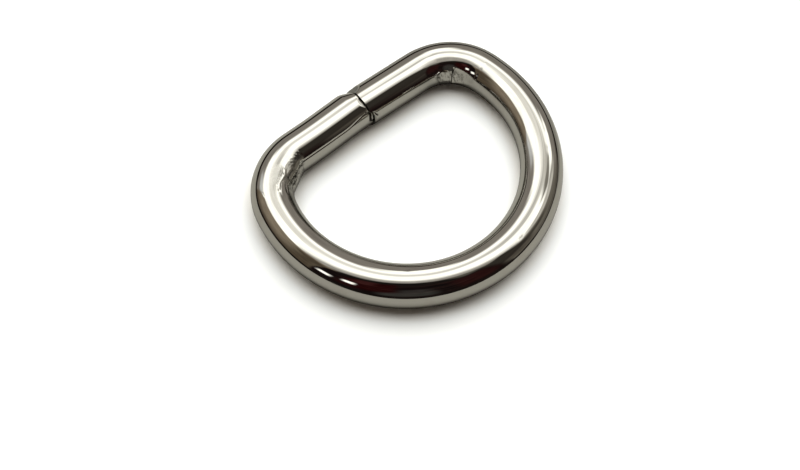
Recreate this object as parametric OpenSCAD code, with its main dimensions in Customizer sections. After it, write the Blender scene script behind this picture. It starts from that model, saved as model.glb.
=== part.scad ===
// D ring bent from one round wire. The wire's two ends meet in the straight bar,
// and the joint is left open. The ring lies flat: +Z is up, +X runs along the bar,
// and the bar is on the +Y side. The origin is below the middle of its outer box.

/* [Wire] */
// Diameter of the wire
wire_d = 4.7; // [3:0.1:6]

/* [Opening] */
// Widest clear width inside the ring, along the bar
inner_w = 25.4; // [22:0.2:29]
// Clear height inside the ring, from the bar's ends to the far side of the bow
inner_h = 18.8; // [17:0.2:24]
// Inside radius of the two corners
corner_r = 4; // [2:0.1:6]

/* [Bar] */
// Angle by which each half of the bar leans outwards on its way to the joint
bar_lean = 1.1; // [0:0.1:2]

/* [Joint] */
// Open gap between the two ends of the wire, at the wire's axis
joint_gap = 0.15; // [0.05:0.05:0.5]
// Place of the joint along the bar, from the bar's middle
joint_x = 0.47; // [-2:0.01:2]
// Radius of the worn, rounded rim on the end from -X
rim_r = 0.4; // [0.1:0.05:1]
// Length of the flat on the outer side of the end from +X
outer_flat_l = 1.3; // [0.5:0.1:2]
// Depth of that flat at the joint
outer_flat_depth = 0.3; // [0.1:0.05:0.6]
// Length of the smaller flat on the inner side of the same end
inner_flat_l = 0.7; // [0.3:0.1:2]
// Depth of the smaller flat at the joint
inner_flat_depth = 0.25; // [0.1:0.05:0.6]

/* [Hidden] */
$fn = 96;

// Radii and lengths are kept to a thousandth, so that the stretches of wire meet exactly
function to_thousandth(size) = round(1000 * size) / 1000;

// The wire's axis: an arc for the bow, two arcs for the corners and two leaning lines.
// The plan is laid out from the bow's centre, with the bar towards +Y.
wire_r = to_thousandth(wire_d / 2);
bow_r = to_thousandth(inner_w / 2) + wire_r;
turn_r = to_thousandth(corner_r) + wire_r;
corner_y = inner_h - inner_w / 2 - corner_r;
// Where the bow hands over to a corner, as an angle above the +X direction
bow_end = asin(corner_y / (bow_r - turn_r));
turn_angle = 90 - bar_lean - bow_end;
corner_x = (bow_r - turn_r) * cos(bow_end);

// Each half of the bar starts at the end of its corner
bar_start_x = corner_x + turn_r * sin(bar_lean);
bar_start_y = corner_y + turn_r * cos(bar_lean);
left_l = to_thousandth((bar_start_x + joint_x - joint_gap / 2) / cos(bar_lean));
right_l = to_thousandth((bar_start_x - joint_x - joint_gap / 2) / cos(bar_lean));

// The outer box runs from the bow's far side to the highest whole section of the bar
top_l = max(left_l - rim_r, right_l - outer_flat_l);
top_y = bar_start_y + top_l * sin(bar_lean) + wire_r * cos(bar_lean);
middle_y = (top_y - bow_r - wire_r) / 2;

// The bow is three stretches on one circle, and its middle one spans this angle
bow_middle = 60;
// Two stretches on one circle run this angle into each other
arc_overlap = 2;
// A cutter reaches this many wire diameters past what it cuts
cutter_reach = 3;

// A stretch of wire bent about the origin, from the +X direction to an angle
module bent_wire(path_r, angle) {
    rotate_extrude(angle = angle)
        translate([path_r, 0])
            circle(r = wire_r);
}

// The far stretch of the bow
module bow_far_side() {
    rotate([0, 0, -90 - bow_middle / 2])
        bent_wire(bow_r, bow_middle);
}

// The +X side of the ring: the rest of the bow, a corner, and then its half of the bar,
// which is given along +Z with +X on the bar's outer side
module side_with_end() {
    rotate([0, 0, bow_end]) {
        bent_wire(bow_r, -(90 - bow_middle / 2 + bow_end + arc_overlap));
        translate([bow_r - turn_r, 0]) {
            bent_wire(turn_r, turn_angle / 2 + arc_overlap);
            rotate([0, 0, turn_angle]) {
                bent_wire(turn_r, -(turn_angle / 2 + arc_overlap));
                translate([turn_r, 0])
                    rotate([-90, 0, 0])
                        children();
            }
        }
    }
}

// Half of the bar whose end has a rounded rim
module rounded_end() {
    rotate_extrude() {
        square([wire_r, left_l - rim_r]);
        square([wire_r - rim_r, left_l]);
        translate([wire_r - rim_r, left_l - rim_r])
            intersection() {
                circle(r = rim_r);
                square(rim_r);
            }
    }
}

// A block whose face slopes in from a wire's outer side to the given depth at the origin
module flat_cutter(length, depth) {
    translate([wire_r, 0, -length])
        rotate([0, -atan2(depth, length), 0])
            translate([0, -wire_d, -wire_d])
                cube([wire_d, 2 * wire_d, cutter_reach * wire_d]);
}

// Half of the bar whose end has a flat on its outer side and a smaller one on its inner side
module flattened_end() {
    difference() {
        cylinder(r = wire_r, h = right_l);
        translate([0, 0, right_l])
            flat_cutter(outer_flat_l, outer_flat_depth);
        translate([0, 0, right_l])
            mirror([1, 0, 0])
                flat_cutter(inner_flat_l, inner_flat_depth);
    }
}

module ring() {
    color([0.66, 0.64, 0.61])
        translate([0, -middle_y, wire_r])
            union() {
                side_with_end() flattened_end();
                mirror([1, 0, 0])
                    side_with_end() rounded_end();
                bow_far_side();
            }
}

ring();
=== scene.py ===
"""Dressed model of a D ring that is bent from one nickel-plated wire.

The ring lies flat on a pale floor. Its bar is away from the camera, and the
wire's two ends meet in it. Lengths are in metres, in the frame of the CAD
model, but those of the marks on the wire, and their places along it, are in
millimetres. Angles are in degrees where a name ends in _deg, and so are the
angles round the wire's section, from -90 at the bottom over 0 at the outer
side and 90 at the top to 180 at the inner side. All others are in radians.
"""

import logging
import math
from collections.abc import Sequence
from dataclasses import dataclass
from functools import cached_property
from typing import NamedTuple

import bmesh
import bpy
from mathutils import Matrix, Vector, noise


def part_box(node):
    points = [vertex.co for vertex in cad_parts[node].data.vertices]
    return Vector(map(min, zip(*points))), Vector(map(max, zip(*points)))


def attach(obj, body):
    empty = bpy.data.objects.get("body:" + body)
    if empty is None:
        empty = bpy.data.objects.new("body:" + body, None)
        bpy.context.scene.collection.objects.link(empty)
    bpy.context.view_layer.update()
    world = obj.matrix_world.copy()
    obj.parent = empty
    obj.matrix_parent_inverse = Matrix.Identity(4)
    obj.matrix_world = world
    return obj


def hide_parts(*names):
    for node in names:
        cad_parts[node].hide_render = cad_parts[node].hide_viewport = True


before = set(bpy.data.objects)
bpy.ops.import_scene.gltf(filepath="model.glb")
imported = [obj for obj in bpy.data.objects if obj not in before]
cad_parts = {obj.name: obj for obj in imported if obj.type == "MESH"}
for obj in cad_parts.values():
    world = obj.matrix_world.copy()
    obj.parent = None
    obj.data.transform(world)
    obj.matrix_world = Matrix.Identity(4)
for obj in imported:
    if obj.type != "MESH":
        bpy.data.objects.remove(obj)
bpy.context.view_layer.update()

MM = 0.001
ORIGIN = Vector((0.0, 0.0, 0.0))
UP = Vector((0.0, 0.0, 1.0))
WIRE_R_MM = 2.35
SMOOTH_NOISE = "PERLIN_ORIGINAL"

Colour = tuple[float, float, float]
Band = tuple[float, float]
Line = tuple[tuple[float, float], ...]
Socket = bpy.types.NodeSocket
Value = Socket | float | Sequence[float]
Mesh = bmesh.types.BMesh
Edges = list[bmesh.types.BMEdge]

log = logging.getLogger("d_ring")


def smooth_step(value: float, low: float, high: float) -> float:
    """Runs smoothly from 0 to 1 as a value goes from low to high."""
    share = min(1.0, max(0.0, (value - low) / (high - low)))
    return share * share * (3.0 - 2.0 * share)


def bump_shape(distance: float, half_width: float) -> float:
    """Gives the height of a soft round bump of height 1 at a distance from its middle."""
    share = min(1.0, abs(distance) / half_width)
    return math.cos(0.5 * math.pi * share) ** 2


def way_round(angle: float) -> float:
    """Gives the length in millimetres that an angle in degrees spans round the wire."""
    return math.radians(angle) * WIRE_R_MM


def fading(along: float, length: float) -> float:
    """Falls from 1 at the wire's -X end to 0 at a length from it."""
    return max(0.0, 1.0 - along / length)


def flat_rise(angle: float, depth: float) -> float:
    """Gives the rise from the round surface to a flat, at an angle in degrees from its middle."""
    cosine = math.cos(math.radians(angle))
    return (WIRE_R_MM - depth) / cosine - WIRE_R_MM if cosine > 0.0 else math.inf


def mirrored(point: Vector) -> Vector:
    """Gives the point on the other side of the ring's middle plane."""
    return Vector((-point.x, point.y, point.z))


def heading(azimuth_deg: float, elevation_deg: float = 0.0) -> Vector:
    """Gives a direction as a vector.

    Args:
        azimuth_deg: The azimuth, counter-clockwise from +X.
        elevation_deg: The elevation above the floor.

    Returns:
        The unit vector.
    """
    azimuth = math.radians(azimuth_deg)
    elevation = math.radians(elevation_deg)
    level = math.cos(elevation)
    return Vector((level * math.cos(azimuth), level * math.sin(azimuth), math.sin(elevation)))


def looking_back(target: Vector, way_out: Vector, distance: float) -> Matrix:
    """Gives the place of a lamp or camera that looks at a target from a distance."""
    turn = way_out.to_track_quat("Z", "Y").to_matrix().to_4x4()
    return Matrix.Translation(target + way_out * distance) @ turn


def placed(name: str, data: bpy.types.ID) -> bpy.types.Object:
    """Puts a new object in the scene.

    Args:
        name: The object's name.
        data: Its mesh, lamp or camera.

    Returns:
        The object.
    """
    thing = bpy.data.objects.new(name, data)
    bpy.context.scene.collection.objects.link(thing)
    return thing


def from_bmesh(name: str, mesh: Mesh) -> bpy.types.Object:
    """Turns a finished bmesh into an object, and frees it.

    Args:
        name: The name of the object and its mesh.
        mesh: The bmesh.

    Returns:
        The object.
    """
    data = bpy.data.meshes.new(name)
    mesh.to_mesh(data)
    mesh.free()
    return placed(name, data)


class Place(NamedTuple):
    """A place in the wire: along it, round it from its outer side over its top, and out of its axis."""

    along: float
    angle: float
    reach: float


@dataclass(frozen=True)
class WirePlan:
    """Plan of the wire's axis: two leaning half bars, two corners and the bow.

    A place along the wire is a distance from the end that comes from -X, which
    runs over the -X corner, the bow and the +X corner to the other end.
    """

    wire_r: float
    bow_r: float
    turn_r: float
    bow_y: float
    height: float
    corner_rise: float
    lean: float
    joint_x: float
    joint_gap: float

    @classmethod
    def from_frame(cls) -> "WirePlan":
        """Works the plan out from the CAD node's box and the ring's inner sizes.

        Returns:
            The plan.
        """
        inner_height = 18.8 * MM
        corner_r = 4.0 * MM
        low, high = (Vector(corner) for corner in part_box("ring"))
        wire_d = high.z - low.z
        inner_width = high.x - low.x - 2.0 * wire_d
        wire_r = wire_d / 2.0
        bow_r = inner_width / 2.0 + wire_r
        return cls(
            wire_r=wire_r,
            bow_r=bow_r,
            turn_r=corner_r + wire_r,
            bow_y=low.y + bow_r + wire_r,
            height=low.z + wire_r,
            corner_rise=inner_height - inner_width / 2.0 - corner_r,
            lean=math.radians(1.1),
            joint_x=0.47 * MM,
            joint_gap=0.15 * MM,
        )

    @cached_property
    def bow_end(self) -> float:
        """Angle above the +X direction at which the bow hands over to a corner."""
        return math.asin(self.corner_rise / (self.bow_r - self.turn_r))

    @cached_property
    def bow_centre(self) -> Vector:
        """Centre of the bow's arc."""
        return Vector((0.0, self.bow_y, self.height))

    @cached_property
    def corner_centre(self) -> Vector:
        """Centre of the +X corner's arc."""
        across = (self.bow_r - self.turn_r) * math.cos(self.bow_end)
        return Vector((across, self.bow_y + self.corner_rise, self.height))

    @cached_property
    def turn_angle(self) -> float:
        """Angle through which each corner turns the wire."""
        return math.pi / 2.0 - self.lean - self.bow_end

    @cached_property
    def bar_start(self) -> Vector:
        """Where the +X half of the bar leaves its corner."""
        turn = Vector((math.sin(self.lean), math.cos(self.lean), 0.0))
        return self.corner_centre + self.turn_r * turn

    @cached_property
    def left_length(self) -> float:
        """Length of the half of the bar from -X."""
        return (self.bar_start.x + self.joint_x - self.joint_gap / 2.0) / math.cos(self.lean)

    @cached_property
    def right_length(self) -> float:
        """Length of the half of the bar from +X."""
        return (self.bar_start.x - self.joint_x - self.joint_gap / 2.0) / math.cos(self.lean)

    @cached_property
    def corner_length(self) -> float:
        """Length of one corner along the wire's axis."""
        return self.turn_r * self.turn_angle

    @cached_property
    def bow_length(self) -> float:
        """Length of the bow along the wire's axis."""
        return self.bow_r * (math.pi + 2.0 * self.bow_end)

    @cached_property
    def length(self) -> float:
        """Length of the whole wire along its axis."""
        return self.left_length + 2.0 * self.corner_length + self.bow_length + self.right_length

    def locate(self, point: Vector) -> Place:
        """Finds where in the wire a point is.

        Args:
            point: A point on or in the wire.

        Returns:
            The distance along the wire, the angle round it in degrees, from -90 at
            the bottom over 0 at the outer side, 90 at the top and 180 at the inner
            side, and the distance from the wire's axis.
        """
        side = -1.0 if point.x < 0.0 else 1.0
        centre = self.corner_centre
        from_bow = Vector((abs(point.x), point.y - self.bow_y))
        bow_angle = math.atan2(from_bow.y, from_bow.x)
        from_corner = Vector((abs(point.x) - centre.x, point.y - centre.y))
        corner_angle = math.atan2(from_corner.y, from_corner.x)
        if bow_angle <= self.bow_end:
            outwards = from_bow.length - self.bow_r
            way = self.bow_r * (bow_angle + math.pi / 2.0)
        elif corner_angle <= math.pi / 2.0 - self.lean:
            outwards = from_corner.length - self.turn_r
            way = self.bow_length / 2.0 + self.turn_r * (corner_angle - self.bow_end)
        else:
            side = -1.0 if point.x < self.joint_x else 1.0
            step = Vector((side * point.x, point.y)) - self.bar_start.xy
            outwards = step.dot(Vector((math.sin(self.lean), math.cos(self.lean))))
            inwards = step.dot(Vector((-math.cos(self.lean), math.sin(self.lean))))
            way = self.bow_length / 2.0 + self.corner_length + inwards
        height = point.z - self.height
        angle = math.degrees(math.atan2(height, outwards))
        if angle < -90.0:
            angle += 360.0
        return Place(self.bow_middle + side * way, angle, math.hypot(outwards, height))

    @cached_property
    def bow_middle(self) -> float:
        """Distance along the wire to the middle of the bow."""
        return self.left_length + self.corner_length + self.bow_length / 2.0

    def on_bend(self, along: float) -> bool:
        """Tells whether a place along the wire is on the bow or a corner."""
        return self.left_length < along < self.length - self.right_length


class Mark:
    """Something that shapes the wire's surface, or lays dirt and painted shade on it, by a place along the
    wire and round it.

    Its lengths are in millimetres, as are the rises that it gives.
    """

    def rise(self, along: float, angle: float) -> float:
        """Gives how far the mark moves the surface outwards."""
        return 0.0

    def grime_and_shade(self, along: float, angle: float) -> float:
        """Gives how much dirt and painted shade the mark lays on the surface, where 1 or more is the full
        dark colour.
        """
        return 0.0

    def wear(self, along: float, angle: float) -> float:
        """Gives how dull the mark rubs the plate, from 0 to 1."""
        return 0.0


@dataclass(frozen=True)
class Waviness(Mark):
    """The slight unevenness that drawing and bending leave in the whole wire."""

    height: float = 0.010
    wave_length: float = 5.0
    flow: float = 0.6

    def rise(self, along: float, angle: float) -> float:
        """Gives the surface's smooth swell."""
        place = Vector((along / self.wave_length, *(heading(angle).xy * self.flow)))
        return self.height * noise.noise(place, noise_basis=SMOOTH_NOISE)


@dataclass(frozen=True)
class PressedFlat(Mark):
    """A flat that the bending tool pressed into the inside of a corner, with a step across the wire.

    The metal that it pushed up forms a soft ridge above it.
    """

    start: float
    step: float
    end: float
    depth: float = 0.31
    depth_past: float = 0.09
    step_width: float = 0.10
    held_share: float = 0.6
    angle_deg: float = 165.0
    least_cosine: float = 0.3
    softness: float = 0.02
    ridge: float = 0.05
    ridge_deg: float = 127.0
    ridge_half_deg: float = 16.0

    def rise(self, along: float, angle: float) -> float:
        """Gives the flat, which deepens up to the step and fades out after it, and its ridge.

        Args:
            along: The place along the wire.
            angle: The place round it.

        Returns:
            The rise.
        """
        aside = angle - self.angle_deg
        if along <= self.start or math.cos(math.radians(aside)) <= self.least_cosine:
            return 0.0
        before = min(1.0, (along - self.start) / (self.step - self.start))
        past = 1.0 - smooth_step(along, self.step + self.held_share * (self.end - self.step), self.end)
        beyond = smooth_step(along, self.step, self.step + self.step_width)
        cut = flat_rise(aside, self.depth * before * (1.0 - beyond) + self.depth_past * past * beyond)
        pressed = 0.5 * (cut - math.hypot(cut, self.softness)) + 0.5 * self.softness * (1.0 - before * past)
        middle = 0.5 * (self.step + self.end)
        height = self.ridge * bump_shape(along - middle, middle - self.start)
        return pressed + height * bump_shape(angle - self.ridge_deg, self.ridge_half_deg)


@dataclass(frozen=True)
class Swell(Mark):
    """A long stretch where bending made one side of the wire a little fuller."""

    middle: float
    half_length: float
    angle_deg: float
    half_angle_deg: float
    height: float

    def rise(self, along: float, angle: float) -> float:
        """Gives the soft rise of the surface."""
        across = bump_shape(angle - self.angle_deg, self.half_angle_deg)
        return self.height * across * bump_shape(along - self.middle, self.half_length)


@dataclass(frozen=True)
class Web(Mark):
    """Metal that the bend squeezed out on a corner's inside, up to a straight chord across it."""

    middle: float
    half_length: float
    bend_r: float
    angle_deg: float = 180.0
    half_angle_deg: float = 60.0

    def height(self, along: float) -> float:
        """Gives how far the chord stands in front of the corner's round inside."""
        turn = min(abs(along - self.middle), self.half_length) / self.bend_r
        return (self.bend_r - WIRE_R_MM) * (1.0 - math.cos(self.half_length / self.bend_r) / math.cos(turn))

    def rise(self, along: float, angle: float) -> float:
        """Gives the web, which is highest on the wire's inner side."""
        return self.height(along) * bump_shape(angle - self.angle_deg, self.half_angle_deg)


@dataclass(frozen=True)
class Patch(Mark):
    """An oval patch of rubbed plate, or of metal that the bend squeezed into small folds."""

    middle: float
    half_length: float
    angle_deg: float
    half_angle_deg: float
    height: float = 0.0
    fold_length: float = 0.5
    slant: float = 0.5
    stretch: float = 0.55
    dirt_and_shade: float = 0.0
    dullness: float = 0.0
    softness: float = 0.5
    rim_power: int = 4
    rim_unevenness: float = 0.12
    rim_wave_length: float = 0.5
    rim_wave_deg: float = 9.0
    rim_slice: float = 2.0
    fold_slice: float = 7.3
    fold_fading: float = 0.8
    fold_spacing: float = 2.1
    fold_layers: int = 3
    valleys: Band = (-0.3, 0.4)

    def share(self, along: float, angle: float) -> float:
        """Gives how much of the patch is there, inside its uneven rim.

        Args:
            along: The place along the wire.
            angle: The place round it.

        Returns:
            A number from 0 to 1.
        """
        length = abs(along - self.middle) / self.half_length
        if length >= 1.0:
            return 0.0
        across = abs(angle - self.angle_deg) / self.half_angle_deg
        place = Vector((along / self.rim_wave_length, angle / self.rim_wave_deg, self.rim_slice))
        distance = (length**self.rim_power + across**self.rim_power) ** (1.0 / self.rim_power)
        uneven = distance + self.rim_unevenness * noise.noise(place)
        return 1.0 - smooth_step(uneven, 1.0 - self.softness, 1.0)

    def folds(self, along: float, angle: float) -> float:
        """Gives the folds' height.

        Args:
            along: The place along the wire.
            angle: The place round it.

        Returns:
            A number from about -1 to 1.
        """
        across = way_round(angle)
        lengthwise = (along + self.slant * across) / self.fold_length
        crosswise = self.stretch * (across - self.slant * along) / self.fold_length
        place = Vector((lengthwise, crosswise, self.fold_slice))
        return noise.fractal(
            place, self.fold_fading, self.fold_spacing, self.fold_layers, noise_basis=SMOOTH_NOISE
        )

    def rise(self, along: float, angle: float) -> float:
        """Gives the folds, which fade out towards the patch's rim."""
        share = self.share(along, angle) if self.height else 0.0
        return share * self.height * self.folds(along, angle) if share else 0.0

    def grime_and_shade(self, along: float, angle: float) -> float:
        """Gives the dirt and painted shade, which sit in the folds' valleys."""
        share = self.share(along, angle) if self.dirt_and_shade else 0.0
        return share * self.dirt_and_shade * smooth_step(-self.folds(along, angle), *self.valleys) if share else 0.0

    def wear(self, along: float, angle: float) -> float:
        """Gives the dullness of a rubbed patch."""
        return self.dullness * self.share(along, angle) if self.dullness else 0.0


class Dent(Mark):
    """A mark with one profile, which goes in by its depth, or stands up if that is negative."""

    depth: float
    dirt_and_shade: float

    def shape(self, along: float, angle: float) -> float:
        """Gives the profile, from 0 to 1."""
        return 0.0

    def rise(self, along: float, angle: float) -> float:
        """Gives the dent."""
        return -self.depth * self.shape(along, angle)

    def grime_and_shade(self, along: float, angle: float) -> float:
        """Gives the dirt and painted shade that sit in the dent."""
        return self.dirt_and_shade * self.shape(along, angle) if self.dirt_and_shade else 0.0


@dataclass(frozen=True)
class Seam(Dent):
    """A narrow groove along a broken line of places along and round the wire."""

    line: Line
    depth: float
    half_width: float
    dirt_and_shade: float = 0.0
    tip: float = 0.3
    tip_growth: float = 3.0

    def shape(self, along: float, angle: float) -> float:
        """Gives the groove's profile, which is weaker at the line's two tips.

        Args:
            along: The place along the wire.
            angle: The place round it.

        Returns:
            A number from 0 to 1.
        """
        point = Vector((along, way_round(angle)))
        stretches = list(zip(self.line, self.line[1:]))
        best = 0.0
        for stretch in stretches:
            low, high = sorted(place[0] for place in stretch)
            if not low - self.half_width < along < high + self.half_width:
                continue
            first, last = (Vector((place[0], way_round(place[1]))) for place in stretch)
            way = last - first
            share = min(1.0, max(0.0, (point - first).dot(way) / way.length_squared))
            from_tip = share if stretch == stretches[0] else 1.0
            if stretch == stretches[-1]:
                from_tip = min(from_tip, 1.0 - share)
            strength = min(1.0, self.tip + self.tip_growth * from_tip)
            best = max(best, strength * bump_shape((point - first - way * share).length, self.half_width))
        return best


@dataclass(frozen=True)
class Nick(Dent):
    """A small round or oval dent."""

    along: float
    angle_deg: float
    size: float
    depth: float
    stretch: float = 1.0
    dirt_and_shade: float = 0.5

    def shape(self, along: float, angle: float) -> float:
        """Gives the nick's profile, from 0 to 1."""
        across = way_round(angle - self.angle_deg)
        return bump_shape(math.hypot((along - self.along) / self.stretch, across), self.size)


@dataclass(frozen=True)
class WornEnd(Mark):
    """The worn edge of the wire's -X end, which is deepest on its upper outer side."""

    length: float = 1.25
    depth: float = 0.52
    curve: float = 1.4
    angle_deg: float = 18.0
    half_angle_deg: float = 74.0
    rim_length: float = 0.30
    rim_depth: float = 0.03

    def rim(self, along: float) -> float:
        """Gives how far the end's edge is rounded off all round."""
        return self.rim_depth * fading(along, self.rim_length) ** 2

    def rise(self, along: float, angle: float) -> float:
        """Gives the worn shape, which deepens towards the end."""
        around = bump_shape(angle - self.angle_deg, self.half_angle_deg)
        return -self.rim(along) - self.depth * around * fading(along, self.length) ** self.curve


@dataclass(frozen=True)
class OffsetEnd(Mark):
    """The small sideways step between the two ends, as the -X end stands further out."""

    length: float = 7.0
    shift: float = 0.15

    def rise(self, along: float, angle: float) -> float:
        """Moves the whole section outwards near the end."""
        share = 1.0 - smooth_step(along, 0.0, self.length)
        return self.shift * math.cos(math.radians(angle)) * share


@dataclass(frozen=True)
class Facet(Mark):
    """A flat that was pinched into a side of the wire near an end, and deepens towards it."""

    start: float
    end: float
    depth: float
    angle_deg: float
    bend: float = 0.5
    painted_shade: float = 0.0
    painted_shade_depth: float = 0.1

    def rise(self, along: float, angle: float) -> float:
        """Cuts the round section down to the facet's plane."""
        share = max(0.0, (along - self.start) / (self.end - self.start)) ** self.bend
        return min(0.0, flat_rise(angle - self.angle_deg, self.depth * share))

    def grime_and_shade(self, along: float, angle: float) -> float:
        """Gives the painted shade on the facet, which is darkest where the facet cuts deepest."""
        return self.painted_shade * min(1.0, -self.rise(along, angle) / self.painted_shade_depth) if self.painted_shade else 0.0


@dataclass(frozen=True)
class JointJog:
    """The step in the joint's line, where both ends are cut further towards +X, in millimetres."""

    length: float = 1.3
    upper: float = 0.06
    lower: float = 0.52
    closed: float = 0.07
    opened: float = 0.07
    upper_from: Band = (96.0, 120.0)
    lower_from: Band = (139.0, 152.0)
    lower_to: Band = (205.0, 235.0)

    def slide(self, distance: float, angle: float, is_left: bool) -> float:
        """Gives how far the surface moves towards +X.

        Args:
            distance: The distance from the joint along the wire.
            angle: The place round it.
            is_left: Whether the place is on the half from -X.

        Returns:
            The move.
        """
        if distance >= self.length:
            return 0.0
        inside = smooth_step(angle, *self.lower_from) * (1.0 - smooth_step(angle, *self.lower_to))
        cut = self.upper * smooth_step(angle, *self.upper_from) + (self.lower - self.upper) * inside
        if is_left:
            cut += self.closed - (self.closed + self.opened) * inside
        return cut * (1.0 - distance / self.length) ** 2


class Zone(NamedTuple):
    """A stretch of the wire up to a place along it, and the mesh's step there, in millimetres."""

    end: float
    step: float


@dataclass
class RingMesh:
    """Shapes the whole wire as one closed mesh."""

    plan: WirePlan
    marks: Sequence[Mark]
    joint: JointJog
    zones: Sequence[Zone]
    segments: int = 160
    coarse_step: float = 0.6 * MM
    step_tolerance: float = 0.01
    rim_r: float = 0.12 * MM
    rim_steps: int = 5

    def build(self) -> bpy.types.Object:
        """Makes the wire.

        Returns:
            The wire's object.
        """
        mesh = bmesh.new()
        self.sweep_wire(mesh)
        bmesh.ops.recalc_face_normals(mesh, faces=mesh.faces)
        self.refine(mesh)
        self.shape_surface(mesh)
        for face in mesh.faces:
            face.smooth = True
        return from_bmesh("ring_wire", mesh)

    def sweep_wire(self, mesh: Mesh) -> None:
        """Draws the round section along the whole plan in coarse steps, and closes both ends.

        Args:
            mesh: The empty mesh that receives the wire.
        """
        plan = self.plan
        lean_in = Vector((-math.cos(plan.lean), -math.sin(plan.lean), 0.0))
        lean_out = Vector((-math.cos(plan.lean), math.sin(plan.lean), 0.0))
        start = mirrored(plan.bar_start) - lean_in * (plan.left_length - self.rim_r)
        face_wire = lean_in.to_track_quat("Z", "Y").to_matrix().to_4x4()
        made = bmesh.ops.create_circle(
            mesh,
            cap_ends=False,
            segments=self.segments,
            radius=plan.wire_r,
            matrix=Matrix.Translation(start) @ face_wire,
        )
        first = list({edge for vertex in made["verts"] for edge in vertex.link_edges})
        self.round_end(mesh, first, start, -lean_in)
        last = self.draw_straight(mesh, first, lean_in * (plan.left_length - self.rim_r))
        last = self.draw_bend(mesh, last, mirrored(plan.corner_centre), plan.turn_r, plan.turn_angle)
        last = self.draw_bend(mesh, last, plan.bow_centre, plan.bow_r, math.pi + 2.0 * plan.bow_end)
        last = self.draw_bend(mesh, last, plan.corner_centre, plan.turn_r, plan.turn_angle)
        last = self.draw_straight(mesh, last, lean_out * plan.right_length)
        bmesh.ops.edgeloop_fill(mesh, edges=last)
        for edge in last:
            edge.smooth = False

    def extrude(
        self, mesh: Mesh, edges: Edges, way: Vector, centre: Vector = ORIGIN, scale: float = 1.0
    ) -> Edges:
        """Extrudes the section by one step, and scales its new end.

        Args:
            mesh: The mesh that is drawn.
            edges: The section's edges where the step starts.
            way: The step.
            centre: The section's centre where the step starts.
            scale: The new end's size, as a share of the old one's.

        Returns:
            The section's edges where the step ends.
        """
        made = bmesh.ops.extrude_edge_only(mesh, edges=edges)["geom"]
        vertices = [thing for thing in made if isinstance(thing, bmesh.types.BMVert)]
        around = Matrix.Translation(-centre)
        bmesh.ops.scale(mesh, vec=(scale, scale, scale), space=around, verts=vertices)
        bmesh.ops.translate(mesh, vec=way, verts=vertices)
        return [thing for thing in made if isinstance(thing, bmesh.types.BMEdge)]

    def draw_straight(self, mesh: Mesh, edges: Edges, way: Vector) -> Edges:
        """Extrudes the section along a straight stretch.

        Args:
            mesh: The mesh that is drawn.
            edges: The section's edges where the stretch starts.
            way: The whole stretch as a vector.

        Returns:
            The section's edges where the stretch ends.
        """
        steps = max(1, round(way.length / self.coarse_step))
        for _ in range(steps):
            edges = self.extrude(mesh, edges, way / steps)
        return edges

    def draw_bend(self, mesh: Mesh, edges: Edges, centre: Vector, radius: float, angle: float) -> Edges:
        """Spins the section round a bend's centre.

        Args:
            mesh: The mesh that is drawn.
            edges: The section's edges where the bend starts.
            centre: The bend's centre.
            radius: The bend's radius at the wire's axis.
            angle: The bend's angle, counter-clockwise from above.

        Returns:
            The section's edges where the bend ends.
        """
        vertices = list({vertex for edge in edges for vertex in edge.verts})
        made = bmesh.ops.spin(
            mesh,
            geom=vertices + edges,
            cent=centre,
            axis=UP,
            angle=angle,
            steps=max(1, round(radius * angle / self.coarse_step)),
            use_merge=False,
            use_duplicate=False,
        )["geom_last"]
        return [thing for thing in made if isinstance(thing, bmesh.types.BMEdge)]

    def round_end(self, mesh: Mesh, edges: Edges, centre: Vector, way: Vector) -> None:
        """Rounds the rim of an open end and closes it.

        Args:
            mesh: The mesh that is drawn.
            edges: The open end's edges.
            centre: The section's centre there.
            way: The direction out of the end.
        """
        turns = [0.5 * math.pi * number / self.rim_steps for number in range(self.rim_steps + 1)]
        for before, after in zip(turns, turns[1:]):
            old_r = self.plan.wire_r - self.rim_r * (1.0 - math.cos(before))
            new_r = self.plan.wire_r - self.rim_r * (1.0 - math.cos(after))
            step = way * self.rim_r * (math.sin(after) - math.sin(before))
            edges = self.extrude(mesh, edges, step, centre, new_r / old_r)
            centre = centre + step
        bmesh.ops.edgeloop_fill(mesh, edges=edges)

    def refine(self, mesh: Mesh) -> None:
        """Divides the coarse steps along the wire, the finer the smaller the marks there are.

        Args:
            mesh: The closed wire in coarse steps.
        """
        along = {vertex: self.plan.locate(vertex.co).along for vertex in mesh.verts}
        groups: dict[int, Edges] = {}
        for edge in mesh.edges:
            start, end = sorted(along[vertex] for vertex in edge.verts)
            if end - start < self.coarse_step / 2.0:
                continue
            middle = (start + end) / 2.0
            step = next(zone.step for zone in self.zones if middle < zone.end * MM)
            steps = math.ceil((end - start) / (step * MM) - self.step_tolerance)
            groups.setdefault(steps - 1, []).append(edge)
        for cuts, edges in groups.items():
            if cuts > 0:
                bmesh.ops.subdivide_edges(mesh, edges=edges, cuts=cuts, use_grid_fill=True)

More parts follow.
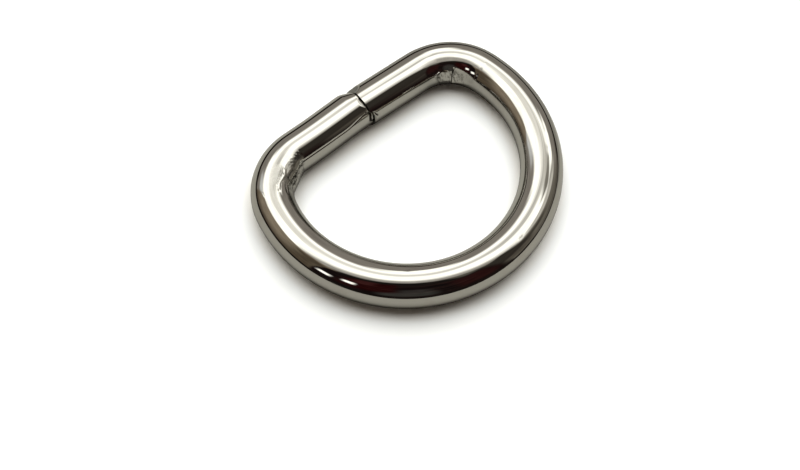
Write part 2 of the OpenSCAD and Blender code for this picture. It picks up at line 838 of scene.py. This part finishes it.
    def shape_surface(self, mesh: Mesh) -> None:
        """Moves the surface by all marks, and lays the wire's own map, its dirt and painted shade, and its
        wear on it.

        Args:
            mesh: The closed wire in fine steps.
        """
        plan = self.plan
        grime_and_shade_layer = mesh.verts.layers.float.new("grime_and_shade")
        wear_layer = mesh.verts.layers.float.new("wear")
        places = {vertex: plan.locate(vertex.co) for vertex in mesh.verts}
        for vertex, (along, angle, reach) in places.items():
            spot = (along / MM, angle)
            rise = MM * sum(mark.rise(*spot) for mark in self.marks)
            if plan.on_bend(along):
                rise += plan.wire_r - reach
            vertex.co += self.outwards_at(vertex.co, along, angle) * rise
            from_joint = min(along, plan.length - along) / MM
            vertex.co.x += MM * self.joint.slide(from_joint, angle, along < plan.bow_middle)
            # The marks' dirt and painted shade go into one layer.
            vertex[grime_and_shade_layer] = min(1.0, sum(mark.grime_and_shade(*spot) for mark in self.marks))
            vertex[wear_layer] = min(1.0, sum(mark.wear(*spot) for mark in self.marks))
        layer = mesh.loops.layers.uv.new("wire")
        for face in mesh.faces:
            middle = places[face.loops[0].vert].angle
            for loop in face.loops:
                place = places[loop.vert]
                angle = place.angle
                if angle - middle > 180.0:
                    angle -= 360.0
                elif middle - angle > 180.0:
                    angle += 360.0
                loop[layer].uv = (place.along, math.radians(angle) * plan.wire_r)

    def outwards_at(self, point: Vector, along: float, angle: float) -> Vector:
        """Gives the direction straight out of the wire's axis at a point on its surface.

        Args:
            point: The point.
            along: The point's place along the wire.
            angle: The point's direction round the section.

        Returns:
            A unit vector.
        """
        plan = self.plan
        turn = math.radians(angle)
        if plan.on_bend(along):
            centre = plan.bow_centre
            if abs(along - plan.bow_middle) > plan.bow_length / 2.0:
                centre = Vector(plan.corner_centre)
                centre.x = math.copysign(centre.x, point.x)
            level = point - centre
            level.z = 0.0
            level.normalize()
        else:
            sign = -1.0 if along < plan.bow_middle else 1.0
            level = Vector((sign * math.sin(plan.lean), math.cos(plan.lean), 0.0))
        return level * math.cos(turn) + UP * math.sin(turn)


@dataclass(frozen=True)
class Grain:
    """A noise pattern, and the part of its range that counts."""

    scale: float
    detail: float = 2.0
    roughness: float = 0.5
    low: float = 0.0
    high: float = 1.0
    stretch: tuple[float, float, float] = (1.0, 1.0, 1.0)


class NodeSheet:
    """Adds and links the nodes of one material or world."""

    def __init__(self, owner: bpy.types.Material | bpy.types.World) -> None:
        """Turns the nodes on, and empties them.

        Args:
            owner: The material or world.
        """
        owner.use_nodes = True
        self.tree = owner.node_tree
        self.tree.nodes.clear()

    def add(
        self, kind: str, *values: Value, inputs: dict[str, Value] | None = None, **settings: object
    ) -> bpy.types.Node:
        """Adds a node, with its inputs and settings.

        Args:
            kind: The node's type, without the words ShaderNode.
            *values: What its first inputs receive.
            inputs: What its other inputs receive, by their names.
            **settings: The node's properties.

        Returns:
            The new node.
        """
        node = self.tree.nodes.new("ShaderNode" + kind)
        for name, value in settings.items():
            setattr(node, name, value)
        for socket, value in zip(node.inputs, values):
            self.feed(socket, value)
        for name, value in (inputs or {}).items():
            self.feed(node.inputs[name], value)
        return node

    def feed(self, socket: Socket, value: Value) -> None:
        """Links a socket to another one, or sets its constant.

        Args:
            socket: The socket.
            value: Another node's socket, or the constant.
        """
        if isinstance(value, bpy.types.NodeSocket):
            self.tree.links.new(value, socket)
        elif socket.type == "RGBA":
            socket.default_value = (*value, 1.0)
        else:
            socket.default_value = value

    def math(self, operation: str, *values: Value) -> Socket:
        """Works out a number from others."""
        return self.add("Math", *values, operation=operation).outputs[0]

    def vector(self, operation: str, *values: Value) -> Socket:
        """Works out a vector or colour from others."""
        return self.add("VectorMath", *values, operation=operation).outputs["Vector"]

    def measure(self, operation: str, *values: Value) -> Socket:
        """Works out a number from vectors."""
        return self.add("VectorMath", *values, operation=operation).outputs["Value"]

    def ramp(
        self, value: Value, low: float, high: float, to_low: float = 0.0, to_high: float = 1.0
    ) -> Socket:
        """Maps a value smoothly from the range between low and high to another one."""
        values = (value, low, high, to_low, to_high)
        return self.add("MapRange", *values, interpolation_type="SMOOTHSTEP").outputs[0]

    def blend(self, share: Value, first: Value, second: Value) -> Socket:
        """Blends two colours.

        Args:
            share: How much of the second colour is in the result, from 0 to 1.
            first: The first colour.
            second: The second colour.

        Returns:
            The blended colour's socket.
        """
        node = self.add("Mix", share, data_type="RGBA", clamp_factor=True)
        colours = [socket for socket in node.inputs if socket.type == "RGBA"]
        self.feed(colours[0], first)
        self.feed(colours[1], second)
        return next(socket for socket in node.outputs if socket.type == "RGBA")

    def noise(self, place: Socket, grain: Grain) -> Socket:
        """Gives a smooth noise over the whole of its range.

        Args:
            place: The coordinates.
            grain: The noise pattern.

        Returns:
            The noise's socket.
        """
        inputs = {
            "Vector": self.vector("MULTIPLY", place, grain.stretch),
            "Scale": grain.scale,
            "Detail": grain.detail,
            "Roughness": grain.roughness,
        }
        return self.add("TexNoise", inputs=inputs, noise_dimensions="3D").outputs["Fac"]

    def grain(self, place: Socket, grain: Grain) -> Socket:
        """Gives a smooth noise, from 0 at its low value to 1 at its high value."""
        return self.ramp(self.noise(place, grain), grain.low, grain.high)


@dataclass(frozen=True)
class PlatedNickel:
    """Bright nickel plate on steel wire, with a little wear, dirt and painted shade."""

    clean: Colour = (0.56, 0.545, 0.50)
    tarnish: Colour = (0.47, 0.435, 0.385)
    most_tarnish: float = 0.5
    clouds: Grain = Grain(260.0, 3.0, 0.6, low=0.52, high=0.78)
    dirt_and_shade: Colour = (0.026, 0.022, 0.016)
    thinnest_dirt_and_shade: float = 0.45
    thick_from: Band = (0.5, 0.9)
    speckle: Grain = Grain(6500.0, low=0.35, high=0.62)
    gloss: float = 0.018
    dull: float = 0.07
    rubbed: float = 0.30
    dirty: float = 0.35
    dull_clouds: Grain = Grain(330.0, 4.0, 0.62, low=0.45, high=0.75)
    dull_lines: Grain = Grain(1.0, 3.0, 0.6, low=0.3, high=0.7, stretch=(350.0, 9000.0, 1.0))
    orange_peel: Grain = Grain(900.0, 2.0, 0.45)
    drawn_lines: Grain = Grain(1.0, stretch=(260.0, 5200.0, 1.0))
    peel_share: float = 0.7
    relief_depth: float = 0.004 * MM
    relief_strength: float = 0.25
    groove_half_width: float = 0.17 * MM
    groove_depth: float = 0.042 * MM
    groove_angles: Band = (139.7, 150.3)
    groove_turn_end: float = 3.4 * MM
    groove_faint: float = 0.3
    groove_faint_part: Band = (0.1 * MM, 2.0 * MM)
    groove_last_part: Band = (9.5 * MM, 11.0 * MM)

    def make(self) -> bpy.types.Material:
        """Makes the material.

        Returns:
            The material.
        """
        material = bpy.data.materials.new("plated_nickel")
        sheet = NodeSheet(material)
        place = sheet.add("TexCoord").outputs["Object"]
        wire = sheet.add("UVMap", uv_map="wire").outputs["UV"]
        grime_and_shade = sheet.add("Attribute", attribute_name="grime_and_shade").outputs["Fac"]
        wear = sheet.add("Attribute", attribute_name="wear").outputs["Fac"]
        inputs = {
            "Metallic": 1.0,
            "Base Color": self.colour(sheet, place, grime_and_shade),
            "Roughness": self.roughness(sheet, place, wire, grime_and_shade, wear),
            "Normal": self.relief(sheet, place, wire),
        }
        sheet.add("OutputMaterial", sheet.add("BsdfPrincipled", inputs=inputs).outputs[0])
        return material

    def colour(self, sheet: NodeSheet, place: Socket, grime_and_shade: Socket) -> Socket:
        """Lays faint warm tarnish clouds over the clean metal, and dirt and painted shade in the creases,
        dents and folds.

        Args:
            sheet: The material's nodes.
            place: The place on the object.
            grime_and_shade: How much dirt and painted shade the surface has.

        Returns:
            The colour's socket.
        """
        tarnished = sheet.math("MULTIPLY", sheet.grain(place, self.clouds), self.most_tarnish)
        metal = sheet.blend(tarnished, self.clean, self.tarnish)
        thick = sheet.math("MAXIMUM", sheet.grain(place, self.speckle), sheet.ramp(grime_and_shade, *self.thick_from))
        cover = sheet.math("MULTIPLY_ADD", thick, 1.0 - self.thinnest_dirt_and_shade, self.thinnest_dirt_and_shade)
        # Dirt and painted shade darken the metal where the marks lay them.
        return sheet.blend(sheet.math("MULTIPLY", grime_and_shade, cover), metal, self.dirt_and_shade)

    def roughness(
        self, sheet: NodeSheet, place: Socket, wire: Socket, grime_and_shade: Socket, wear: Socket
    ) -> Socket:
        """Keeps the plate glossy, with duller clouds, fine drawn lines, rubbed places and dull places under
        the dirt and painted shade.

        Args:
            sheet: The material's nodes.
            place: The place on the object.
            wire: The place along and round the wire.
            grime_and_shade: How much dirt and painted shade the surface has.
            wear: How rubbed the surface is.

        Returns:
            The roughness's socket.
        """
        lines = sheet.grain(wire, self.dull_lines)
        uneven = sheet.math("MULTIPLY", sheet.grain(place, self.dull_clouds), lines)
        base = sheet.math("MULTIPLY_ADD", uneven, self.dull - self.gloss, self.gloss)
        worn = sheet.math("MULTIPLY_ADD", wear, self.rubbed, base)
        return sheet.math("MULTIPLY_ADD", grime_and_shade, self.dirty, worn)

    def relief(self, sheet: NodeSheet, place: Socket, wire: Socket) -> Socket:
        """Gives the plate its orange peel, the fine lines that drawing left and the one deeper groove.

        Args:
            sheet: The material's nodes.
            place: The place on the object.
            wire: The place along and round the wire.

        Returns:
            The surface direction's socket.
        """
        lines = sheet.math("MULTIPLY", sheet.noise(wire, self.drawn_lines), 1.0 - self.peel_share)
        height = sheet.math("MULTIPLY_ADD", sheet.noise(place, self.orange_peel), self.peel_share, lines)
        fine = {"Strength": self.relief_strength, "Distance": self.relief_depth, "Height": height}
        normal = sheet.add("Bump", inputs=fine).outputs["Normal"]
        groove = self.drawn_groove(sheet, wire)
        deep = {"Strength": 1.0, "Distance": self.groove_depth, "Height": groove, "Normal": normal}
        return sheet.add("Bump", inputs=deep, invert=True).outputs["Normal"]

    def drawn_groove(self, sheet: NodeSheet, wire: Socket) -> Socket:
        """Gives the groove that a die scratched along the -X half of the bar.

        Args:
            sheet: The material's nodes.
            wire: The place along and round the wire.

        Returns:
            The socket of a number from 0 to 1.
        """
        along, across, _ = sheet.add("SeparateXYZ", wire).outputs
        start, end = (way_round(angle) * MM for angle in self.groove_angles)
        line = sheet.ramp(along, 0.0, self.groove_turn_end, start, end)
        distance = sheet.math("ABSOLUTE", sheet.math("SUBTRACT", across, line))
        profile = sheet.ramp(distance, 0.0, self.groove_half_width, 1.0, 0.0)
        start_strength = sheet.ramp(along, *self.groove_faint_part, self.groove_faint, 1.0)
        end_strength = sheet.ramp(along, *self.groove_last_part, 1.0, 0.0)
        return sheet.math("MULTIPLY", profile, sheet.math("MULTIPLY", start_strength, end_strength))


@dataclass(frozen=True)
class Card:
    """A patch of the surroundings, as an azimuth from +X and a band of elevations."""

    name: str
    colour: Colour
    azimuth_deg: float
    half_width_deg: float
    low_deg: float
    high_deg: float
    slope: float = 0.0
    soft_deg: float = 3.0
    side_soft_deg: float = 3.0

    def mask(self, sheet: NodeSheet, direction: Socket, elevation: Socket) -> Socket:
        """Gives where the card is.

        Args:
            sheet: The world's nodes.
            direction: The direction that is looked in.
            elevation: That direction's elevation in degrees.

        Returns:
            The socket of a number from 0 to 1.
        """
        ahead = sheet.measure("DOT_PRODUCT", direction, heading(self.azimuth_deg))
        aside = sheet.measure("DOT_PRODUCT", direction, heading(self.azimuth_deg + 90.0))
        angle = sheet.math("DEGREES", sheet.math("ARCTAN2", aside, ahead))
        level = elevation
        if self.slope:
            level = sheet.math("SUBTRACT", elevation, sheet.math("MULTIPLY", angle, self.slope))
        soft = self.soft_deg / 2.0
        side_soft = self.side_soft_deg / 2.0
        width = self.half_width_deg
        inside = sheet.ramp(sheet.math("ABSOLUTE", angle), width - side_soft, width + side_soft, 1.0, 0.0)
        above = sheet.ramp(level, self.low_deg - soft, self.low_deg + soft)
        below = sheet.ramp(level, self.high_deg - soft, self.high_deg + soft, 1.0, 0.0)
        return sheet.math("MULTIPLY", inside, sheet.math("MULTIPLY", above, below))


@dataclass(frozen=True)
class Surroundings:
    """The soft white studio and the dark room behind the camera, which the metal mirrors."""

    canopy: Colour = (2.09, 2.10, 2.02)
    haze: Colour = (0.56, 0.54, 0.50)
    wall: Colour = (0.312, 0.289, 0.262)
    shade: Colour = (0.012, 0.010, 0.009)
    black: Colour = (0.009, 0.006, 0.006)
    backdrop: Colour = (1.0, 1.0, 1.0)
    canopy_from_deg: Band = (36.0, 48.0)
    dark_azimuth_deg: float = -125.0
    dark_elevation_deg: float = 20.0
    dark_to_deg: Band = (55.0, 62.5)
    haze_to_deg: Band = (65.0, 76.0)
    wobble: float = 0.045
    wobble_scale: float = 6.0
    mottling: float = 0.13
    mottles: Grain = Grain(9.0, 4.0, 0.65, low=0.3, high=0.7)
    streak_colour: Colour = (0.026, 0.012, 0.010)
    streaks: Grain = Grain(1.0, 3.0, 0.6, low=0.45, high=0.75, stretch=(3.0, 3.0, 26.0))

    def cards(self) -> tuple[Card, ...]:
        """Lists the patches, each painted over those before it."""
        return (
            Card("left_light", (0.85, 0.87, 0.88), 110, 9, 21, 50, 0, 11, 12),
            Card("low_canopy_back", self.canopy, 99, 20, 37, 60, 0, 9, 8),
            Card("low_canopy_middle", self.canopy, 51, 5, 33, 50, 0, 5, 6),
            Card("rib", (1.27, 1.25, 1.19), 52, 38, 56, 67, 0.05, 8, 16),
            Card("rib_core", (0.86, 0.85, 0.80), 33, 12, 57, 65, -0.15, 6, 8),
            Card("grey_arm_end", (0.80, 0.78, 0.72), 18, 15, 50, 57, 0.2, 5, 14),
            Card("dim_side", (0.20, 0.185, 0.155), -46, 36, -20, 47, -0.75, 30, 12),
            Card("side_glow", (0.80, 0.78, 0.72), -22, 15, 30, 44, -0.45, 5, 10),
            Card("low_canopy_right", self.canopy, 5, 9, 31, 45, 0, 6, 8),
            Card("grey_arm", (0.30, 0.285, 0.25), 2, 11, 45, 54, 0.15, 5, 8),
            Card("brown_wall", (0.33, 0.277, 0.21), 148, 31, -5, 51, 0.35, 7, 3),
            Card("brown_wall_top", (0.09, 0.075, 0.055), 167, 10, 42, 50, 0, 5, 10),
            Card("brown_wall_foot", (0.10, 0.08, 0.058), 148, 31, -5, 15, 0, 26, 4),
            Card("brown_wall_end", (0.105, 0.084, 0.058), 170, 11, -5, 56, 0, 12, 20),
            Card("skirting", (0.125, 0.115, 0.10), -22, 24, -5, 9, 0, 6, 14),
            Card("dark_rail", (0.08, 0.073, 0.06), -49, 17, 24, 36, -0.35, 9, 12),
            Card("dark_room", self.black, -123.5, 59.5, -5, 60, 0, 10, 3),
            Card("dusk", (0.042, 0.038, 0.032), -58, 11, 18, 58, 0, 6, 8),
            Card("dusk_foot", (0.12, 0.108, 0.09), -57, 10, 8, 24, 0, 8, 8),
            Card("grey_blob", (0.052, 0.05, 0.047), -126, 16, 9, 30, 0, 6, 10),
            Card("grey_blob_top", (0.04, 0.037, 0.036), -122, 10, 28, 43, 0, 8, 12),
            Card("red_cloth", (0.024, 0.003, 0.0035), -150, 17, 20, 64, 0.3, 12, 10),
            Card("red_cloth_top", (0.06, 0.017, 0.017), -156, 7, 46, 64, 0.3, 9, 8),
            Card("red_cloth_right", (0.028, 0.008, 0.008), -84, 12, 14, 54, 0, 12, 10),
            Card("window", self.canopy, -176, 4, 22, 31, 0, 5, 4),
            Card("window_right", self.canopy, -161.5, 3.8, 30, 39, 0, 5, 4),
            Card("far_edge", (0.025, 0.022, 0.018), 76, 34, -5, 8, 0, 4, 12),
            Card("horizon", (0.012, 0.010, 0.008), 0, 400, -12, 4, 0, 4, 3),
            Card("pale_horizon", (0.14, 0.13, 0.11), -28, 19, -12, 6, 0, 4, 10),
        )

    def make(self) -> bpy.types.World:
        """Makes the world, which is plain and pale to the camera itself.

        Returns:
            The world.
        """
        world = bpy.data.worlds.new("studio")
        sheet = NodeSheet(world)
        straight = sheet.add("TexCoord").outputs["Generated"]
        direction = self.wobbled(sheet, straight)
        elevation = sheet.math("DEGREES", sheet.math("ARCSINE", sheet.measure("DOT_PRODUCT", direction, UP)))
        colour = self.sky(sheet, direction, elevation)
        for card in self.cards():
            colour = sheet.blend(card.mask(sheet, direction, elevation), colour, card.colour)
        streaked = sheet.blend(sheet.grain(direction, self.streaks), (0.0, 0.0, 0.0), self.streak_colour)
        mottled = sheet.math(
            "MULTIPLY_ADD", sheet.grain(straight, self.mottles), 2.0 * self.mottling, 1.0 - self.mottling
        )
        mirrored_room = sheet.add("Background", sheet.vector("ADD", colour, streaked), mottled)
        seen = sheet.add("Background", self.backdrop)
        to_camera = sheet.add("LightPath").outputs["Is Camera Ray"]
        mixed = sheet.add("MixShader", to_camera, mirrored_room.outputs[0], seen.outputs[0])
        sheet.add("OutputWorld", mixed.outputs[0])
        return world

    def sky(self, sheet: NodeSheet, direction: Socket, elevation: Socket) -> Socket:
        """Gives the canopy with the dark room in it, over a low wall.

        Args:
            sheet: The world's nodes.
            direction: The direction that is looked in.
            elevation: That direction's elevation in degrees.

        Returns:
            The colour's socket.
        """
        dark = heading(self.dark_azimuth_deg, self.dark_elevation_deg)
        turn = sheet.math("ARCCOSINE", sheet.measure("DOT_PRODUCT", direction, dark))
        off_dark = sheet.math("DEGREES", turn)
        hazy = sheet.blend(sheet.ramp(off_dark, *self.haze_to_deg), self.haze, self.canopy)
        sky = sheet.blend(sheet.ramp(off_dark, *self.dark_to_deg), self.shade, hazy)
        return sheet.blend(sheet.ramp(elevation, *self.canopy_from_deg), self.wall, sky)

    def wobbled(self, sheet: NodeSheet, direction: Socket) -> Socket:
        """Shifts directions a little by a noise, so that no edge in the room is ruler-straight.

        Args:
            sheet: The world's nodes.
            direction: The straight direction.

        Returns:
            The shifted direction's socket.
        """
        inputs = {"Vector": direction, "Scale": self.wobble_scale}
        swirl = sheet.add("TexNoise", inputs=inputs, noise_dimensions="3D").outputs["Color"]
        centred = sheet.vector("SUBTRACT", swirl, (0.5, 0.5, 0.5))
        shift = sheet.vector("MULTIPLY", centred, (self.wobble,) * 3)
        return sheet.vector("NORMALIZE", sheet.vector("ADD", direction, shift))


@dataclass(frozen=True)
class PaleFloor:
    """The white sheet that the ring lies on."""

    plan: WirePlan
    half_size: float = 700.0 * MM
    seen: Colour = (0.90, 0.92, 0.922)
    # Painted warm shade on the floor as the camera sees it, close to the wire.
    seen_near_painted_shade: Colour = (0.90, 0.885, 0.835)
    near_to: Band = (1.8 * MM, 3.4 * MM)
    mirrored: Colour = (0.345, 0.342, 0.318)
    # Painted contact shade in the floor's mirror image, close to the wire.
    painted_contact_shade: Colour = (0.115, 0.112, 0.10)
    painted_contact_shade_to: Band = (1.8 * MM, 4.3 * MM)
    # Painted shade in the floor's mirror image, on the ring's far side.
    far_side_painted_shade: Colour = (0.24, 0.236, 0.22)
    far_azimuth_deg: float = 30.0
    far_from: Band = (15.5 * MM, 19.5 * MM)
    # Painted shade: the floor's mirror image far from the ring.
    beyond: Colour = (0.008, 0.007, 0.006)
    beyond_from: Band = (52.0 * MM, 65.0 * MM)
    round_off: float = 5.0 * MM

    def build(self) -> bpy.types.Object:
        """Makes the floor.

        Returns:
            The floor's object.
        """
        mesh = bmesh.new()
        bmesh.ops.create_grid(mesh, x_segments=2, y_segments=2, size=self.half_size)
        floor = from_bmesh("floor", mesh)
        floor.data.materials.append(self.material())
        return floor

    def material(self) -> bpy.types.Material:
        """Makes the floor's finish, whose mirror image is greyer than the floor itself and carries painted
        shade.

        Returns:
            The material.
        """
        material = bpy.data.materials.new("white_sheet")
        sheet = NodeSheet(material)
        place = sheet.add("TexCoord").outputs["Object"]
        reach = sheet.measure("DOT_PRODUCT", place, heading(self.far_azimuth_deg))
        # Painted shade: the floor's mirror image is darker on the far side of the ring.
        lit = sheet.blend(sheet.ramp(reach, *self.far_from), self.mirrored, self.far_side_painted_shade)
        past = sheet.ramp(sheet.measure("LENGTH", place), *self.beyond_from)
        distance = self.distance_from_wire(sheet, place)
        # Painted shade: the floor's mirror image goes nearly black far from the ring.
        open_floor = sheet.blend(past, lit, self.beyond)
        # Painted contact shade: the floor's mirror image darkens close to the wire.
        mirrored_floor = sheet.blend(sheet.ramp(distance, *self.painted_contact_shade_to), self.painted_contact_shade, open_floor)
        # Painted shade: the floor as the camera sees it turns warm close to the wire.
        seen = sheet.blend(sheet.ramp(distance, *self.near_to), self.seen_near_painted_shade, self.seen)
        to_camera = sheet.add("LightPath").outputs["Is Camera Ray"]
        diffuse = sheet.add("BsdfDiffuse", sheet.blend(to_camera, mirrored_floor, seen))
        sheet.add("OutputMaterial", diffuse.outputs[0])
        return material

    def distance_from_wire(self, sheet: NodeSheet, place: Socket) -> Socket:
        """Gives a floor point's distance from the line under the wire's axis.

        Args:
            sheet: The material's nodes.
            place: The point.

        Returns:
            The distance's socket.
        """
        across, up, _ = sheet.add("SeparateXYZ", place).outputs
        from_centre = sheet.math("SUBTRACT", up, self.plan.bow_y)
        square = sheet.math("MULTIPLY", from_centre, from_centre)
        reach = sheet.math("SQRT", sheet.math("MULTIPLY_ADD", across, across, square))
        past_bow = sheet.math("SUBTRACT", reach, self.plan.bow_r)
        past_bar = sheet.math("SUBTRACT", up, self.plan.bar_start.y)
        return sheet.math("ABSOLUTE", sheet.math("SMOOTH_MAX", past_bow, past_bar, self.round_off))


@dataclass(frozen=True)
class SoftBox:
    """A large lamp high on the far side, which lights the floor and casts the soft shadow."""

    azimuth_deg: float = 43.0
    elevation_deg: float = 68.0
    distance: float = 400.0 * MM
    size: float = 500.0 * MM
    power: float = 1.8
    colour: Colour = (1.0, 0.985, 0.96)

    def build(self) -> bpy.types.Object:
        """Makes the lamp, which the metal doesn't mirror.

        Returns:
            The lamp's object.
        """
        data = bpy.data.lights.new("soft_box", "AREA")
        data.shape = "SQUARE"
        data.size = self.size
        data.energy = self.power
        data.color = self.colour
        lamp = placed("soft_box", data)
        way_out = heading(self.azimuth_deg, self.elevation_deg)
        lamp.matrix_world = looking_back(ORIGIN, way_out, self.distance)
        lamp.visible_glossy = False
        lamp.visible_camera = False
        return lamp


@dataclass(frozen=True)
class PhotoCamera:
    """The camera, which stands above the bow's left side."""

    target: tuple[float, float, float] = (-6.02 * MM, -3.48 * MM, 2.35 * MM)
    distance: float = 146.22 * MM
    azimuth_deg: float = -131.17
    elevation_deg: float = 61.81
    roll_deg: float = 2.43
    lens: float = 61.87
    sensor: float = 36.0
    nearest: float = 1.0 * MM
    farthest: float = 10.0

    def build(self) -> bpy.types.Object:
        """Makes the camera and sets it as the scene's own.

        Returns:
            The camera's object.
        """
        data = bpy.data.cameras.new("photo_camera")
        data.lens = self.lens
        data.sensor_width = self.sensor
        data.clip_start = self.nearest
        data.clip_end = self.farthest
        camera = placed("photo_camera", data)
        way_out = heading(self.azimuth_deg, self.elevation_deg)
        roll = Matrix.Rotation(math.radians(self.roll_deg), 4, "Z")
        camera.matrix_world = looking_back(Vector(self.target), way_out, self.distance) @ roll
        bpy.context.scene.camera = camera
        return camera


@dataclass(frozen=True)
class DRing:
    """The whole object: the wire, with all marks that the photo shows on it."""

    plan: WirePlan

    def end_marks(self) -> tuple[Mark, ...]:
        """Lists the marks of the two ends at the joint.

        Returns:
            The marks.
        """
        end = self.plan.length / MM
        chip = ((0.14, 141.0), (0.22, 160.0), (0.27, 174.0), (0.04, 187.0))
        gouge = ((end - 0.15, 151.0), (end - 0.80, 166.0))
        # The chip and the gouge are darkened with dirt and painted shade.
        return (
            WornEnd(),
            OffsetEnd(),
            Facet(0.46, 0.0, depth=0.16, angle_deg=107.0, bend=1.0),
            # The outward facet at the joint is darkened with painted shade.
            Facet(end - 1.0, end, depth=0.33, angle_deg=43.0, painted_shade=0.76),
            Facet(end - 0.36, end, depth=0.15, angle_deg=172.0),
            Seam(chip, 0.15, 0.16, dirt_and_shade=3.0),
            Seam(gouge, 0.10, 0.19, dirt_and_shade=3.0),
        )

    def left_corner_marks(self) -> tuple[Mark, ...]:
        """Lists the marks on the inside of the -X corner, where the bend squeezed the metal.

        Returns:
            The marks.
        """
        long_folds = {"height": 0.014, "fold_length": 1.5, "slant": 5.5, "stretch": 0.12}
        lip = ((12.5, 120.0), (13.5, 125.0), (14.3, 118.0), (14.8, 112.0), (16.0, 108.0))
        edge = ((12.3, 113.0), (13.2, 117.0), (14.2, 113.0), (15.2, 105.0))
        # The dark in these folds and creases is dirt and painted shade.
        return (
            Patch(12.0, 3.2, 145.0, 24.0, dirt_and_shade=0.85, softness=0.4, **long_folds),
            Web(12.3, 2.45, bend_r=self.plan.turn_r / MM),
            Patch(12.4, 3.1, 178.0, 38.0, height=0.022, fold_length=0.34, slant=1.4, dirt_and_shade=0.6),
            Patch(14.6, 1.6, 165.0, 30.0, height=0.03, slant=-3.0, dirt_and_shade=0.5),
            Patch(10.4, 1.8, 126.0, 9.0, height=0.02, slant=1.4, dirt_and_shade=0.25),
            Patch(13.6, 1.9, 99.0, 19.0, dirt_and_shade=0.09, dullness=0.9, softness=0.75),
            Patch(16.6, 3.4, 92.0, 17.0, dirt_and_shade=0.05, dullness=0.35, softness=0.9),
            Seam(((15.7, 65.0), (16.3, 68.0)), 0.008, 0.10, dirt_and_shade=0.35),
            Seam(lip, -0.035, 0.16),
            Seam(edge, 0.02, 0.09, dirt_and_shade=0.5),
            Seam(((13.5, 136.0), (14.0, 143.0)), 0.04, 0.12, dirt_and_shade=1.0),
            Seam(((12.2, 186.0), (12.5, 198.0)), 0.04, 0.12, dirt_and_shade=1.0),
            Seam(((14.6, 130.0), (16.4, 133.0)), 0.03, 0.16, dirt_and_shade=0.5),
        )

    def right_corner_marks(self) -> tuple[Mark, ...]:
        """Lists the marks on the inside of the +X corner, where the bending tool pressed it."""
        # The dark in these creases, nicks and folds is dirt and painted shade.
        return (
            PressedFlat(start=71.6, step=75.66, end=78.9),
            Seam(((75.50, 141.0), (75.74, 160.0), (75.74, 214.0)), 0.05, 0.13, dirt_and_shade=1.3),
            Seam(((76.1, 152.0), (76.1, 214.0)), 0.015, 0.10, dirt_and_shade=0.5),
            Seam(((78.3, 148.0), (77.7, 212.0)), 0.02, 0.45, dirt_and_shade=0.4),
            Seam(((77.85, 148.0), (78.6, 154.5)), -0.22, 0.22),
            Seam(((76.4, 148.0), (77.2, 147.0)), 0.03, 0.15, dirt_and_shade=0.3),
            Nick(75.35, 141.0, size=0.22, depth=-0.05, dirt_and_shade=0.0),
            Patch(75.8, 3.8, 172.0, 36.0, fold_length=0.4, dirt_and_shade=0.7, softness=0.6),
        )

    def small_marks(self) -> tuple[Mark, ...]:
        """Lists the fuller stretches, small dents and rubbed places elsewhere."""
        return (
            Swell(29.0, 13.0, 140.0, 28.0, height=0.08),
            Swell(62.0, 9.0, 140.0, 28.0, height=0.07),
            Swell(75.0, 5.0, 30.0, 60.0, height=0.09),
            Patch(59.5, 3.4, 77.0, 6.0, height=0.008, softness=0.7),
            Patch(62.5, 3.0, 92.0, 14.0, dullness=0.22, softness=0.9),
            Nick(54.96, 88.0, size=0.16, depth=-0.015, dirt_and_shade=0.0),
            Nick(34.6, 108.0, size=0.22, depth=0.02),
            Nick(47.4, 68.0, size=0.25, depth=0.02, stretch=2.0),
            Nick(85.3, 150.0, size=0.10, depth=0.01, dirt_and_shade=0.9),
        )

    def marks(self) -> tuple[Mark, ...]:
        """Lists all that shapes the wire's surface, or lays dirt and painted shade on it."""
        on_bends = (*self.left_corner_marks(), *self.right_corner_marks())
        return (Waviness(), *self.end_marks(), *on_bends, *self.small_marks())

    def zones(self) -> tuple[Zone, ...]:
        """Lists the mesh's steps, which are fine at the joint and on the corners' insides."""
        return (
            Zone(1.9, 0.05),
            Zone(8.8, 0.20),
            Zone(16.6, 0.075),
            Zone(71.0, 0.30),
            Zone(74.8, 0.15),
            Zone(79.0, 0.05),
            Zone(86.2, 0.20),
            Zone(math.inf, 0.05),
        )

    def build(self) -> bpy.types.Object:
        """Makes the wire, dresses it and puts it in the CAD node's place.

        Returns:
            The wire's object.
        """
        piece = RingMesh(self.plan, self.marks(), JointJog(), self.zones()).build()
        piece.data.materials.append(PlatedNickel().make())
        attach(piece, "root")
        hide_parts("ring")
        return piece


def main() -> None:
    """Builds the camera, the ring, the floor and the light."""
    logging.basicConfig(level=logging.INFO, format="%(name)s: %(message)s")
    scene = bpy.context.scene
    scene.view_settings.view_transform = "Standard"
    PhotoCamera().build()
    plan = WirePlan.from_frame()
    ring = DRing(plan).build()
    log.info("%s has %d faces", ring.name, len(ring.data.polygons))
    floor = PaleFloor(plan).build()
    log.info("%s is laid", floor.name)
    lamp = SoftBox().build()
    log.info("%s is hung", lamp.name)
    scene.world = Surroundings().make()
    log.info("%s is lit", scene.world.name)


if __name__ == "__main__":
    main()
